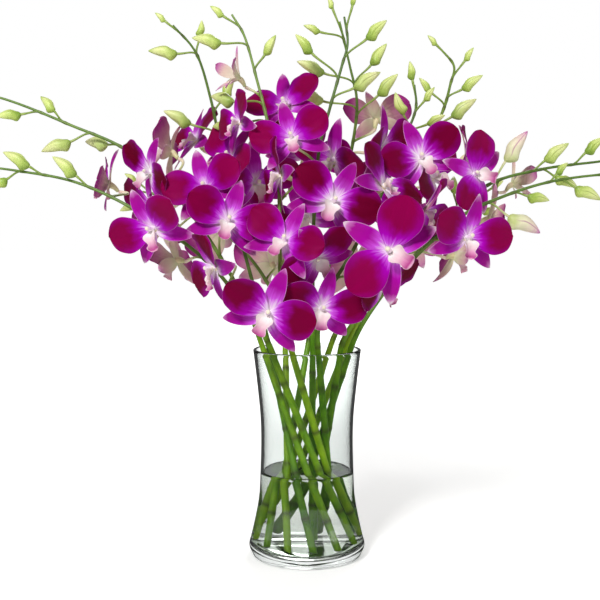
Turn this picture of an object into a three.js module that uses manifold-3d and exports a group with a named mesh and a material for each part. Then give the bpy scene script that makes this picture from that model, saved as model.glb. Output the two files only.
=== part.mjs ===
// Cut dendrobium orchid sprays standing in a clear glass vase of water.
// Millimetres, +Z up, the origin at the middle of the vase's foot, the front towards -Y.
import * as THREE from 'three';
import { mergeVertices } from 'three/addons/utils/BufferGeometryUtils.js';
import Module from 'manifold-3d';

const wasm = await Module();
wasm.setup();

// Driving dimensions of the vase
const VASE_HEIGHT = 183;
const VASE_SIDES = 24;
const WALL = 2.6;
const FLOOR = 8;
const WATER_LEVEL = 75.5;
const GAP = 0.3;
// Half-width of the glass against its height, from the heel to the rim
const OUTLINE = [
  [48.5, 2], [51.5, 9.5], [49.9, 16], [46, 33], [42.6, 52], [41.3, 75], [41.3, 126],
  [43.2, 146], [45.3, 165], [47.5, VASE_HEIGHT],
];
const FOOT_RADIUS = 44;
// The floor inside and the rounded corner where it meets the wall
const FLOOR_RADIUS = 40;
const CORNER = { inwards: 1.6, up: 5 };

// Driving dimensions of the canes, which cross over in the neck as straight lines
const CANE_RADIUS = 3.1;
const NECK_RADIUS = 2.6;
const RACHIS_RADIUS = 1.9;
const TIP_RADIUS = 0.9;
const CANE_FOOT = 11.5;
const RIM_LEVEL = 185;
const FOOT_RING = 37.5;
const RIM_RING = 39;
const CROSSOVER = 125;
// One cane stands in the middle: its foot and where it passes the rim, across and back
const MIDDLE_CANE = { foot: [4, 2], rim: [5, -1] };
const CANE_SIDES = 5;
const STALK_SIDES = 3;
const BUD_SIDES = 4;

// Driving dimensions of one open flower of size 1, seen from its front with the top sepal up
const BLADE = 1.2;
const SEPAL = { length: 35, width: 7.2, lift: 10, bend: -24, channel: 0.16, wave: 0, twist: 60 };
const PETAL = { length: 38.5, width: 15.5, lift: 30, bend: -34, channel: 0.05, wave: 1.6, twist: 30 };
const LIP = { length: 20, width: 6.8, lift: 70, bend: -70, channel: 0.75, wave: 0, twist: 0 };
const SHUT_LIFT = 45;
const SPREAD_JITTER = 6;
const LIFT_JITTER = 6;
const BEND_JITTER = 16;
const HUB_RADIUS = 3.4;
const HUB_TOP = 1.6;
const HUB_BOTTOM = -1.5;
const COLUMN = { radius: 1.9, at: [0, 3, 8] };
const CHIN = { radius: 1.6, at: [0, -5.5, -8] };
const PEDICEL_RADIUS = 1.2;
const BUD_PEDICEL_RADIUS = 0.9;
// How far below a flower its stalk leaves the rachis, and how far back along the flower's axis
// the stalk bends, as a share of its reach
const STALK_DROP = 12;
const STALK_BEND = 0.45;
// A bud's form as shares of its length, and how far its own stalk reaches below its middle
const BUD = { widest: [0.35, 0.2], shoulder: [0.72, 0.15], below: 0.75, stalk: 4 };
// Flowers are eased apart by balls at their hub and along their blades (place, share of width)
const HUB_BALL = 5.5;
const BLADE_BALLS = [[0.55, 0.44], [0.92, 0.28]];
const BROADEST_BALL = 12;
const EASING = { rounds: 160, share: 0.12, longest: 2, clear: 2, pull: [0.05, 0.01, 0.05] };
// The air left where a flower is trimmed back from a neighbour
const TRIM = 0.25;

// Where the eye is that the places in SPRAYS are judged from: in front of the vase, above its rim
const EYE_DISTANCE = 900;
const EYE_HEIGHT = 290;

// The sprays. rim is the way round the rim in degrees (0 is right, 90 is back) where the cane
// leaves the vase; route, blooms and buds start with a place as across, up and forward.
// A bloom goes on with turn, tilt and roll in degrees, its size and how far it is open;
// a bud goes on with its length.
const SPRAYS = {
  a: {
    rim: 186,
    route: [[-62, 240, 4], [-104, 306, 2], [-153, 355, 0], [-207, 380, -4], [-263, 402, -8],
      [-316, 414, -10]],
    blooms: [[-136, 338, 14, -50, -10, -30, 0.95, 1], [-118, 356, -22, -100, 12, 30, 0.95, 1],
      [-88, 326, 38, -12, 6, 20, 1, 1], [-70, 296, 58, 10, 4, -20, 1.05, 1],
      [-134, 308, -54, -62, -14, -20, 1.12, 1]],
    buds: [[-184, 364, -18, 28], [-219, 361, 0, 27], [-226, 398, -14, 21], [-260, 388, -2, 22],
      [-292, 422, -10, 17], [-298, 396, -4, 16], [-330, 417, -10, 13]],
  },
  b: {
    rim: 219,
    route: [[-52, 216, 32], [-87, 260, 40], [-144, 302, 34], [-199, 329, 24], [-253, 340, 14],
      [-312, 347, 8]],
    blooms: [[-172, 328, -20, -80, 8, -15, 0.95, 1], [-134, 290, 58, -24, -20, 25, 1.05, 1],
      [-114, 262, 16, -115, -25, 20, 0.95, 1], [-80, 256, 70, -66, -22, 35, 1.05, 1]],
    buds: [[-212, 344, 26, 26], [-254, 350, 18, 26], [-272, 328, 12, 22], [-300, 358, 8, 17],
      [-328, 345, 8, 14]],
  },
  c: {
    rim: 153,
    route: [[-46, 235, -28], [-62, 297, -36], [-75, 359, -32], [-84, 403, -26],
      [-96, 441, -22], [-116, 465, -20]],
    blooms: [[-66, 350, -6, -48, 20, -30, 1.08, 1], [-46, 330, -18, 34, -18, 15, 1.1, 1],
      [-56, 328, -78, -34, 6, -25, 1.18, 1], [-96, 366, -58, -58, 26, 20, 1.05, 1]],
    buds: [[-113, 386, -26, 27], [-68, 412, -34, 22], [-125, 442, -20, 26],
      [-92, 462, -26, 16], [-127, 472, -20, 12]],
  },
  d: {
    rim: 251,
    route: [[-22, 224, 44], [-24, 275, 44], [-25, 330, 34], [-34, 380, 24], [-44, 420, 14],
      [-54, 455, 8], [-65, 474, 4]],
    blooms: [[-58, 419, 16, -68, 22, 0, 0.8, 0.45], [-58, 382, 26, -64, 4, 20, 0.9, 1],
      [-22, 336, 46, -76, -6, 35, 1, 1], [-19, 278, 72, -16, 14, -25, 1, 1],
      [-34, 216, 84, -8, -12, -25, 1.12, 1], [8, 264, 66, 24, -24, 40, 0.95, 1]],
    buds: [[-74, 402, -8, 27], [-74, 378, -12, 24], [-87, 452, 8, 26], [-32, 448, 12, 20],
      [-78, 477, 4, 15]],
  },
  e: {
    rim: 88,
    route: [[14, 235, -46], [28, 300, -50], [41, 372, -40], [43, 402, -36], [37, 430, -30],
      [28, 468, -24]],
    blooms: [[64, 360, 10, 58, -6, 12, 1.05, 1], [0, 354, -76, 18, 22, -30, 1.18, 1],
      [0, 300, -86, -24, -12, 25, 1.18, 1], [60, 384, -54, 150, 40, 0, 0.95, 1]],
    buds: [[2, 404, -36, 27], [3, 429, -26, 27], [4, 462, -24, 16], [62, 440, -34, 24],
      [70, 414, -30, 26], [20, 484, -24, 12]],
  },
  f: {
    rim: 0,
    route: [[5, 245, 0], [6, 300, 0], [10, 355, 10], [20, 395, 10], [30, 430, 6],
      [35, 450, 4], [32, 472, 2]],
    blooms: [[-13, 368, 42, -6, 8, 18, 0.95, 1], [24, 350, -10, -44, -22, -25, 1.1, 1],
      [22, 313, 62, 6, 0, -28, 1.08, 1], [-18, 396, -26, -24, 26, 20, 1, 1]],
    buds: [[-3, 449, 6, 22], [60, 461, 4, 24], [52, 418, 8, 27], [40, 487, 2, 12]],
  },
  g: {
    rim: 55,
    route: [[46, 235, -40], [74, 300, -42], [104, 362, -32], [118, 392, -26], [124, 414, -22],
      [127, 430, -18], [116, 444, -16]],
    blooms: [[99, 350, 22, 8, 6, 23, 1.05, 1], [108, 334, -68, 48, 12, 35, 1.15, 1],
      [54, 322, -84, 36, -14, -20, 1.18, 1], [138, 352, -34, 72, 14, -20, 0.95, 1]],
    buds: [[136, 394, -22, 27], [102, 414, -24, 16], [143, 416, -18, 22], [140, 440, -16, 14],
      [108, 452, -16, 12]],
  },
  h: {
    rim: 284,
    route: [[14, 224, 46], [40, 270, 44], [66, 322, 18], [82, 362, -6], [94, 392, -12],
      [93, 414, -12]],
    blooms: [[12, 220, 66, 12, -14, -12, 1.02, 1], [66, 240, 44, 56, -26, 28, 1, 1],
      [72, 270, 82, 6, 0, 58, 1.25, 1], [66, 326, 52, 52, 24, -40, 1.05, 1]],
    buds: [[80, 398, -6, 21], [106, 406, -8, 15], [112, 384, 4, 18], [90, 426, -12, 17]],
  },
  i: {
    rim: 350,
    route: [[68, 234, 8], [112, 285, 6], [155, 326, 2], [203, 341, -2], [255, 348, -6],
      [298, 354, -8]],
    blooms: [[146, 337, 18, 26, 2, 70, 1, 1], [102, 306, 62, 66, -24, -30, 1.05, 1],
      [158, 298, -12, 92, -6, 20, 1, 1], [178, 328, -36, 100, 16, 0, 0.85, 0.6]],
    buds: [[182, 361, 6, 32], [217, 356, 0, 26], [226, 330, -6, 23], [250, 362, -6, 22],
      [282, 340, -8, 20], [312, 358, -8, 13]],
  },
  j: {
    rim: 317,
    route: [[54, 224, 34], [98, 268, 40], [134, 300, 44], [172, 318, 32], [210, 330, 16],
      [250, 336, 8], [290, 338, 4]],
    blooms: [[139, 282, 70, 22, -8, -14, 1.05, 1]],
    buds: [[190, 293, 26, 34], [202, 316, 20, 22], [222, 342, 12, 15], [245, 320, 10, 26],
      [272, 350, 6, 18], [304, 336, 4, 13]],
  },
  k: {
    rim: 121,
    route: [[-28, 228, -50], [-50, 264, -68], [-82, 294, -80], [-114, 314, -88],
      [-144, 322, -94]],
    blooms: [[-30, 258, -94, 206, -18, 15, 1.1, 1], [-74, 286, -106, 196, -4, -35, 1.05, 1],
      [-126, 290, -84, 232, -8, 20, 0.95, 1]],
    buds: [[-116, 334, -104, 22], [-156, 308, -98, 20], [-154, 334, -96, 15]],
  },
  l: {
    rim: 23,
    route: [[56, 226, -40], [82, 262, -60], [110, 290, -74], [134, 308, -84],
      [156, 320, -94]],
    blooms: [[40, 258, -86, 150, -16, -20, 1.1, 1], [88, 284, -104, 160, -4, 30, 1.05, 1],
      [128, 266, -50, 112, -18, -25, 0.95, 1]],
    buds: [[128, 328, -104, 22], [160, 304, -98, 20], [166, 328, -98, 15]],
  },
};

// Small helpers
const radians = THREE.MathUtils.degToRad;

function chance(seed) {
  const value = Math.sin(seed * 12.9898) * 43758.5453;
  return value - Math.floor(value);
}

function seen([across, up, forward]) {
  const near = 1 - forward / EYE_DISTANCE;
  return new THREE.Vector3(across * near, -forward, EYE_HEIGHT + (up - EYE_HEIGHT) * near);
}

function round([radius, degrees, level]) {
  const angle = radians(degrees);
  return new THREE.Vector3(radius * Math.cos(angle), radius * Math.sin(angle), level);
}

// A closed surface from its points and triangles
function surface(points, triangles) {
  const geometry = new THREE.BufferGeometry();
  const numbers = points.flatMap((point) => [point.x, point.y, point.z]);
  geometry.setAttribute('position', new THREE.Float32BufferAttribute(numbers, 3));
  geometry.setIndex(triangles.flat());
  return geometry;
}

function solid(geometry) {
  const bare = geometry.clone();
  bare.deleteAttribute('normal');
  bare.deleteAttribute('uv');
  const merged = mergeVertices(bare, 1e-4);
  const mesh = new wasm.Mesh({
    numProp: 3,
    vertProperties: Float32Array.from(merged.attributes.position.array),
    triVerts: Uint32Array.from(merged.index.array),
  });
  return new wasm.Manifold(mesh);
}

function joined(geometries) {
  return geometries.map(solid).reduce((whole, piece) => whole.add(piece));
}

function largest(body) {
  const pieces = body.decompose();
  return pieces.reduce((best, piece) => (piece.volume() > best.volume() ? piece : best));
}

function named(name, body, material) {
  const mesh = body.getMesh();
  const geometry = new THREE.BufferGeometry();
  geometry.setAttribute('position', new THREE.Float32BufferAttribute(mesh.vertProperties, 3));
  geometry.setIndex(Array.from(mesh.triVerts));
  geometry.computeVertexNormals();
  const result = new THREE.Mesh(geometry, material);
  result.name = name;
  return result;
}

// A closed round bar along points, with its own radius at each; a radius of 0 is a sharp end
function bar(points, radii, sides) {
  const corners = [];
  const rings = [];
  const forward = new THREE.Vector3();
  const side = new THREE.Vector3();
  const other = new THREE.Vector3();
  points.forEach((point, i) => {
    const before = points[Math.max(i - 1, 0)];
    const after = points[Math.min(i + 1, points.length - 1)];
    forward.subVectors(after, before).normalize();
    if (i === 0) {
      const aside = Math.abs(forward.x) < 0.7 ? new THREE.Vector3(1, 0, 0) : new THREE.Vector3(0, 1, 0);
      side.crossVectors(forward, aside);
    }
    side.addScaledVector(forward, -side.dot(forward)).normalize();
    other.crossVectors(forward, side);
    const count = radii[i] > 0 ? sides : 1;
    rings.push(Array.from({ length: sides }, (_, k) => corners.length + (k % count)));
    for (let k = 0; k < count; k += 1) {
      const angle = (2 * Math.PI * k) / sides;
      corners.push(point.clone()
        .addScaledVector(side, radii[i] * Math.cos(angle))
        .addScaledVector(other, radii[i] * Math.sin(angle)));
    }
  });
  const triangles = [];
  for (let i = 0; i + 1 < rings.length; i += 1) {
    for (let k = 0; k < sides; k += 1) {
      const [a, b] = [rings[i][k], rings[i][(k + 1) % sides]];
      const [c, d] = [rings[i + 1][k], rings[i + 1][(k + 1) % sides]];
      if (a !== b) triangles.push([a, b, d]);
      if (c !== d) triangles.push([a, d, c]);
    }
  }
  for (let k = 1; k + 1 < sides; k += 1) {
    if (radii[0] > 0) triangles.push([rings[0][0], rings[0][k + 1], rings[0][k]]);
    const end = rings[rings.length - 1];
    if (radii[radii.length - 1] > 0) triangles.push([end[0], end[k], end[k + 1]]);
  }
  return surface(corners, triangles);
}

// Half-widths of the blades against the way along them, from 0 at the root to 1 at the tip
const outlines = {
  sepal: (t) => 2.38 * t ** 0.55 * (1 - t) ** 0.75,
  petal: (t) => 2.8 * t * (1 - t) ** 0.6,
  lip: (t) => 1.75 * t ** 0.7 * (1 - t) ** 0.45 * (1 + 0.25 * Math.cos(4 * Math.PI * (t - 0.42))),
};

// One point of a blade in the flower's own frame: t along it, s across it from -1 to 1,
// and lifted off its middle surface by height
function bladePoint(tepal, t, s, height) {
  const lift = radians(tepal.lift);
  const bend = radians(tepal.bend);
  const pitch = lift + bend * t;
  const halfWidth = tepal.width * outlines[tepal.outline](t);
  const ripple = tepal.wave * s * s * Math.sin(7.5 * t + 2.2 * Math.sign(s) + tepal.phase);
  const curl = radians(tepal.twist) * t * t;
  const flatRise = tepal.channel * s * s * halfWidth + ripple * t + height;
  const rise = flatRise * Math.cos(curl) + s * halfWidth * Math.sin(curl);
  const radial = (tepal.length / bend) * (Math.sin(pitch) - Math.sin(lift)) - rise * Math.sin(pitch);
  const axial = (tepal.length / bend) * (Math.cos(lift) - Math.cos(pitch)) + rise * Math.cos(pitch);
  const angle = radians(tepal.angle);
  const aside = s * halfWidth * Math.cos(curl) - flatRise * Math.sin(curl);
  return new THREE.Vector3(
    radial * Math.cos(angle) - aside * Math.sin(angle),
    radial * Math.sin(angle) + aside * Math.cos(angle),
    axial,
  );
}

// The six blades of one flower in order round it, each a little off its rule so that no two
// flowers are alike
function tepals(bloom) {
  const shut = SHUT_LIFT * (1 - bloom.open);
  const make = (order, kind, outline, angle, rows) => ({
    ...kind,
    outline,
    rows,
    width: kind.width * bloom.open,
    angle: angle + SPREAD_JITTER * (chance(bloom.seed * 7 + order) - 0.5),
    lift: kind.lift + (order === 4 ? 0 : shut + LIFT_JITTER * (chance(bloom.seed * 11 + order) - 0.5)),
    bend: kind.bend + (order === 4 ? 0 : BEND_JITTER * (chance(bloom.seed * 19 + order) - 0.5)),
    twist: kind.twist * (chance(bloom.seed * 23 + order) - 0.5),
    phase: 6.3 * chance(bloom.seed * 13 + order),
  });
  return [
    make(0, PETAL, 'petal', 17, [0.34, 0.64, 0.9]),
    make(1, SEPAL, 'sepal', 90, [0.32, 0.68]),
    make(2, PETAL, 'petal', 163, [0.34, 0.64, 0.9]),
    make(3, SEPAL, 'sepal', 213, [0.32, 0.68]),
    make(4, LIP, 'lip', 270, [0.4, 0.76]),
    make(5, SEPAL, 'sepal', 327, [0.32, 0.68]),
  ];
}

function facing(bloom) {
  const turn = radians(bloom.turn);
  const tilt = radians(bloom.tilt);
  const roll = radians(bloom.roll);
  const front = new THREE.Vector3(
    Math.sin(turn) * Math.cos(tilt), -Math.cos(turn) * Math.cos(tilt), Math.sin(tilt));
  const level = new THREE.Vector3(Math.cos(turn), Math.sin(turn), 0);
  const upright = new THREE.Vector3().crossVectors(front, level);
  const right = level.clone().multiplyScalar(Math.cos(roll)).addScaledVector(upright, Math.sin(roll));
  const top = new THREE.Vector3().crossVectors(front, right);
  return new THREE.Matrix4().makeBasis(right, top, front)
    .scale(new THREE.Vector3(bloom.size, bloom.size, bloom.size));
}

// One flower as a single closed surface. The two faces of a blade share its edges. The blades
// grow from the sides of a six-cornered hub with three levels: the petals and the lip from its
// upper half, the sepals from its lower half. The hub rises into the column at the front and
// runs back into the chin.
function flower(bloom, extra) {
  const blades = tepals(bloom);
  const corners = [];
  const triangles = [];
  const add = (point) => corners.push(point) - 1;
  const ring = (radius, [x, y, z]) => blades.map((tepal, i) => {
    const before = blades[(i + 5) % 6].angle - (i === 0 ? 360 : 0);
    const angle = radians((tepal.angle + before) / 2);
    return add(new THREE.Vector3(x + radius * Math.cos(angle), y + radius * Math.sin(angle), z));
  });
  const levels = [HUB_TOP + extra, 0, HUB_BOTTOM - extra].map((z) => ring(HUB_RADIUS + extra, [0, 0, z]));
  const ends = [ring(COLUMN.radius + extra, COLUMN.at), ring(CHIN.radius + extra, CHIN.at)];
  blades.forEach((tepal, i) => {
    const next = (i + 1) % 6;
    const inner = i % 2 === 0;
    const tip = add(bladePoint(tepal, 1, 0, 0));
    const edges = tepal.rows.map((t) => [-1, 1].map((s) => add(bladePoint(tepal, t, s, 0))));
    const last = edges.length - 1;
    const roots = inner ? [levels[0], levels[1]] : [levels[1], levels[2]];
    [1, -1].forEach((side, face) => {
      const put = (a, b, c) => triangles.push(side > 0 ? [a, b, c] : [a, c, b]);
      const [near, far] = [roots[face][i], roots[face][next]];
      const middle = tepal.rows.map((t) => add(bladePoint(tepal, t, 0, side * (BLADE / 2 + extra))));
      put(near, edges[0][0], middle[0]);
      put(near, middle[0], far);
      put(far, middle[0], edges[0][1]);
      for (let j = 0; j < last; j += 1) {
        put(edges[j][0], edges[j + 1][0], middle[j + 1]);
        put(edges[j][0], middle[j + 1], middle[j]);
        put(middle[j], middle[j + 1], edges[j + 1][1]);
        put(middle[j], edges[j + 1][1], edges[j][1]);
      }
      put(edges[last][0], tip, middle[last]);
      put(middle[last], tip, edges[last][1]);
      const [base, end] = [levels[2 * face], ends[face]];
      put(base[i], base[next], end[next]);
      put(base[i], end[next], end[i]);
      if (i > 1) put(end[0], end[i - 1], end[i]);
    });
    triangles.push([roots[0][i], roots[1][i], edges[0][0]]);
    triangles.push([roots[0][next], edges[0][1], roots[1][next]]);
    const [upper, lower] = inner ? [levels[1], levels[2]] : [levels[0], levels[1]];
    triangles.push([lower[i], lower[next], upper[next]]);
    triangles.push([lower[i], upper[next], upper[i]]);
  });
  const place = bloom.frame.clone().setPosition(bloom.place);
  return solid(surface(corners, triangles).applyMatrix4(place));
}

// The balls that stand for a flower while the flowers are eased apart
function feelers(bloom) {
  const balls = [{ at: new THREE.Vector3(0, 0, 0), radius: HUB_BALL }];
  tepals(bloom).forEach((tepal) => {
    const broad = Math.min(tepal.width, BROADEST_BALL);
    BLADE_BALLS.forEach(([t, share]) => {
      balls.push({ at: bladePoint(tepal, t, 0, 0), radius: share * broad });
    });
  });
  return balls.map(({ at, radius }) => ({
    at: at.applyMatrix4(bloom.frame),
    radius: radius * bloom.size,
  }));
}

// The line of one cane and its rachis: straight through the water to the rim, then along the route
function caneLine(spray, middle) {
  const foot = middle
    ? new THREE.Vector3(...MIDDLE_CANE.foot, CANE_FOOT)
    : round([FOOT_RING, spray.rim + CROSSOVER, CANE_FOOT]);
  const rim = middle
    ? new THREE.Vector3(...MIDDLE_CANE.rim, RIM_LEVEL)
    : round([RIM_RING, spray.rim, RIM_LEVEL]);
  const route = spray.route.map(seen);
  const radii = [CANE_RADIUS, CANE_RADIUS, NECK_RADIUS];
  route.forEach((_, i) => {
    radii.push(THREE.MathUtils.lerp(RACHIS_RADIUS, TIP_RADIUS, (i + 1) / route.length));
  });
  return { points: [foot, foot.clone().lerp(rim, 0.5), rim, ...route], radii };
}

// The place on a rachis where a stalk leaves it for a target, a little below the nearest place
function leaving(line, target, below) {
  const steps = [];
  for (let i = 2; i + 1 < line.points.length; i += 1) {
    for (let k = 0; k < 6; k += 1) {
      steps.push(line.points[i].clone().lerp(line.points[i + 1], k / 6));
    }
  }
  let nearest = 0;
  steps.forEach((step, i) => {
    if (step.distanceTo(target) < steps[nearest].distanceTo(target)) nearest = i;
  });
  let index = nearest;
  while (index > 0 && steps[index].distanceTo(steps[nearest]) < below) index -= 1;
  return steps[index];
}

function stalk(line, end, along, extra) {
  const start = leaving(line, end, STALK_DROP);
  const reach = start.distanceTo(end);
  const elbow = end.clone().addScaledVector(along, -STALK_BEND * reach);
  const middle = new THREE.QuadraticBezierCurve3(start, elbow, end).getPoint(0.5);
  const points = [start, middle, end.clone().addScaledVector(along, -2 * PEDICEL_RADIUS), end];
  return bar(points, points.map(() => PEDICEL_RADIUS + extra), STALK_SIDES);
}

function bud(line, [across, up, forward, length], extra) {
  const middle = seen([across, up, forward]);
  const start = leaving(line, middle, BUD.below * length + BUD.stalk);
  const along = middle.clone().sub(start).normalize();
  const at = (share) => middle.clone().addScaledVector(along, (share - 0.5) * length);
  const full = [BUD.widest, BUD.shoulder];
  const radii = [BUD_PEDICEL_RADIUS, BUD_PEDICEL_RADIUS, ...full.map(([, share]) => share * length)];
  return bar([start, at(0), ...full.map(([place]) => at(place)), at(1)],
    [...radii.map((r) => r + extra), 0], BUD_SIDES);
}

function cane(spray, extra) {
  const { points, radii } = spray.line;
  const main = bar(points, radii.map((r) => r + extra), CANE_SIDES);
  const stalks = spray.blooms.map((bloom) => {
    const along = new THREE.Vector3(0, 0, 1).applyMatrix4(bloom.frame).normalize();
    const end = new THREE.Vector3(...CHIN.at).applyMatrix4(bloom.frame).add(bloom.place)
      .addScaledVector(along, -GAP);
    return stalk(spray.line, end, along, extra);
  });
  const buds = spray.buds.map((numbers) => bud(spray.line, numbers, extra));
  return joined([main, ...stalks, ...buds]);
}

// Flowers that would cross are eased apart, first of all towards the front or the back
function easeApart(sprays) {
  const blooms = sprays.flatMap((spray) => spray.blooms);
  const fixed = sprays.flatMap((spray) => [
    ...spray.line.points.slice(2).map((at, i) => (
      { at, radius: spray.line.radii[i + 2] + EASING.clear })),
    ...spray.buds.map((numbers) => (
      { at: seen(numbers), radius: BUD.widest[1] * numbers[3] + EASING.clear })),
  ]);
  const pull = new THREE.Vector3(...EASING.pull);
  for (let count = 0; count < EASING.rounds; count += 1) {
    const balls = blooms.map((bloom) => bloom.balls.map(({ at, radius }) => ({
      at: at.clone().add(bloom.place), radius,
    })));
    blooms.forEach((bloom, i) => {
      const move = new THREE.Vector3();
      const others = balls.flatMap((set, j) => (j === i ? [] : set)).concat(fixed);
      balls[i].forEach((own) => others.forEach((other) => {
        const away = own.at.clone().sub(other.at);
        const overlap = own.radius + other.radius - away.length();
        if (overlap > 0) move.addScaledVector(away.normalize(), overlap);
      }));
      move.multiplyScalar(EASING.share).clampLength(0, EASING.longest);
      bloom.step = move.add(bloom.home.clone().sub(bloom.place).multiply(pull));
    });
    blooms.forEach((bloom) => bloom.place.add(bloom.step));
  }
}

function glassProfile() {
  const outer = OUTLINE.map(([r, z]) => new THREE.Vector2(r, z));
  const inner = OUTLINE.filter(([, z]) => z > FLOOR + 1).map(([r, z]) => new THREE.Vector2(r - WALL, z));
  inner[0] = new THREE.Vector2(inner[0].x - CORNER.inwards, FLOOR + CORNER.up);
  return [
    new THREE.Vector2(0, 0), new THREE.Vector2(FOOT_RADIUS, 0), ...outer,
    new THREE.Vector2(OUTLINE[OUTLINE.length - 1][0] - WALL / 2, VASE_HEIGHT + 1),
    ...inner.reverse(), new THREE.Vector2(FLOOR_RADIUS, FLOOR), new THREE.Vector2(0, FLOOR),
  ];
}

function turned(profile) {
  return solid(new THREE.LatheGeometry(profile, VASE_SIDES).rotateX(Math.PI / 2));
}

function water(sprays) {
  const profile = [
    new THREE.Vector2(0, FLOOR + GAP), new THREE.Vector2(FLOOR_RADIUS - GAP, FLOOR + GAP),
  ];
  const inner = OUTLINE.filter(([, z]) => z > FLOOR + 1 && z < WATER_LEVEL);
  inner.forEach(([r, z]) => profile.push(new THREE.Vector2(r - WALL - GAP, z)));
  profile[2].set(profile[2].x - CORNER.inwards, FLOOR + CORNER.up + GAP);
  const surfaceRadius = profile[profile.length - 1].x;
  profile.push(new THREE.Vector2(surfaceRadius, WATER_LEVEL), new THREE.Vector2(0, WATER_LEVEL));
  let body = turned(profile);
  sprays.forEach(({ line }) => {
    const [foot, half] = line.points;
    const along = half.clone().sub(foot).normalize();
    const hole = bar([foot.clone().addScaledVector(along, -GAP), half],
      [CANE_RADIUS + GAP, CANE_RADIUS + GAP], CANE_SIDES);
    body = body.subtract(solid(hole));
  });
  return body;
}

// Assembly
const materials = {
  glass: new THREE.MeshStandardMaterial({ color: '#dfe8e6', roughness: 0.05, metalness: 0 }),
  water: new THREE.MeshStandardMaterial({ color: '#d9dccb', roughness: 0.05, metalness: 0 }),
  green: new THREE.MeshStandardMaterial({ color: '#6f9a2c', roughness: 0.5, metalness: 0 }),
  petal: new THREE.MeshStandardMaterial({ color: '#a3087f', roughness: 0.6, metalness: 0 }),
};

const sprays = Object.entries(SPRAYS).map(([letter, spray]) => ({
  letter,
  ...spray,
  line: caneLine(spray, letter === 'f'),
  blooms: spray.blooms.map(([across, up, forward, turn, tilt, roll, size, open], i) => {
    const bloom = { name: `bloom_${letter}${i + 1}`, turn, tilt, roll, size, open };
    bloom.seed = 10 * (letter.charCodeAt(0) - 96) + i;
    bloom.home = seen([across, up, forward]);
    bloom.place = bloom.home.clone();
    bloom.frame = facing(bloom);
    bloom.balls = feelers(bloom);
    return bloom;
  }),
}));
easeApart(sprays);

const model = new THREE.Group();
model.add(named('vase', turned(glassProfile()), materials.glass));
model.add(named('water', water(sprays), materials.water));
const placed = [];
sprays.forEach((spray) => {
  const body = cane(spray, 0);
  placed.push({ body, wide: cane(spray, TRIM) });
  model.add(named(`stem_${spray.letter}`, body, materials.green));
});
sprays.flatMap((spray) => spray.blooms).forEach((bloom) => {
  let body = flower(bloom, 0);
  placed.forEach((neighbour) => {
    if (body.intersect(neighbour.body).volume() === 0) return;
    body = body.subtract(neighbour.wide);
  });
  model.add(named(bloom.name, largest(body), materials.petal));
  placed.push({ body, wide: flower(bloom, TRIM) });
});

export default model;
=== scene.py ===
# Looks for cut dendrobium orchid sprays standing in a clear glass vase of water.
# The lists and formulas are in millimetres, as in the model; meshes are made in metres.
import math

import bpy
import numpy as np
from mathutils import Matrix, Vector


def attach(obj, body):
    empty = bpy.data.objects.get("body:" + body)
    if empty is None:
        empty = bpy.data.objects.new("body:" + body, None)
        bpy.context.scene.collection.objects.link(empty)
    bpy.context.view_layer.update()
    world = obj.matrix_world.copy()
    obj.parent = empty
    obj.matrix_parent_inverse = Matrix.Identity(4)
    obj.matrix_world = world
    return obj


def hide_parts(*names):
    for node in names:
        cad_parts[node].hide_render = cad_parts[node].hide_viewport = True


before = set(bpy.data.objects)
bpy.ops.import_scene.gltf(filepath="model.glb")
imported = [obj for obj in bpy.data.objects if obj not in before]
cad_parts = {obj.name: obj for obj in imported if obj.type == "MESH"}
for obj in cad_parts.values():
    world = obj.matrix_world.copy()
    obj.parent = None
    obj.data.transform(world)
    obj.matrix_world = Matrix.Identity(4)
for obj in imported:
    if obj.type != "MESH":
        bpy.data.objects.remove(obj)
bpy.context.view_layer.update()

METRES = 0.001

# Vase and water, as in the model. OUTLINE holds the glass's outer radius and level
VASE_HEIGHT = 183.0
WALL = 2.6
FLOOR = 8.0
WATER_LEVEL = 75.5
OUTLINE = [
    (48.5, 2), (51.5, 9.5), (49.9, 16), (46, 33), (42.6, 52), (41.3, 75), (41.3, 126),
    (43.2, 146), (45.3, 165), (47.5, VASE_HEIGHT),
]
FOOT_RADIUS = 44.0
FLOOR_RADIUS = 40.0
CORNER_INWARDS = 1.6
CORNER_UP = 5.0
VASE_SIDES = 128
# How far the water reaches into the glass, so that no film of air is left between them
WETTING = 0.12

# Canes. MIDDLE_CANE is where spray f stands: its foot and its place at the rim
CANE_RADIUS = 3.1
NECK_RADIUS = 2.6
RACHIS_RADIUS = 1.9
TIP_RADIUS = 0.9
CANE_FOOT = 11.5
RIM_LEVEL = 185.0
FOOT_RING = 37.5
RIM_RING = 39.0
CROSSOVER = 125.0
MIDDLE_CANE = ((4, 2), (5, -1))
INTERNODE = 41.0
STRAIGHT_STEPS = 56
ROUTE_STEPS = 16
CANE_SIDES = 14

# One open flower of size 1, seen from its front with the top sepal up
SEPAL = dict(
    kind="sepal", length=35, width=7.2, lift=10, bend=-24, channel=0.16, wave=0, twist=60)
PETAL = dict(
    kind="petal", length=38.5, width=15.5, lift=30, bend=-34, channel=0.05, wave=1.6, twist=30)
LIP = dict(
    kind="lip", length=20, width=6.8, lift=70, bend=-70, channel=0.75, wave=0, twist=0)
SHUT_LIFT = 45.0
SPREAD_JITTER = 6.0
LIFT_JITTER = 6.0
BEND_JITTER = 16.0
COLUMN_AT = (0, 3, 8)
COLUMN_RADIUS = 1.9
CHIN_AT = (0, -5.5, -8)
PETAL_THICKNESS = 0.6
EDGE_THICKNESS = 0.16
PEDICEL_RADIUS = 1.2
BUD_PEDICEL_RADIUS = 0.9
GAP = 0.3

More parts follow.
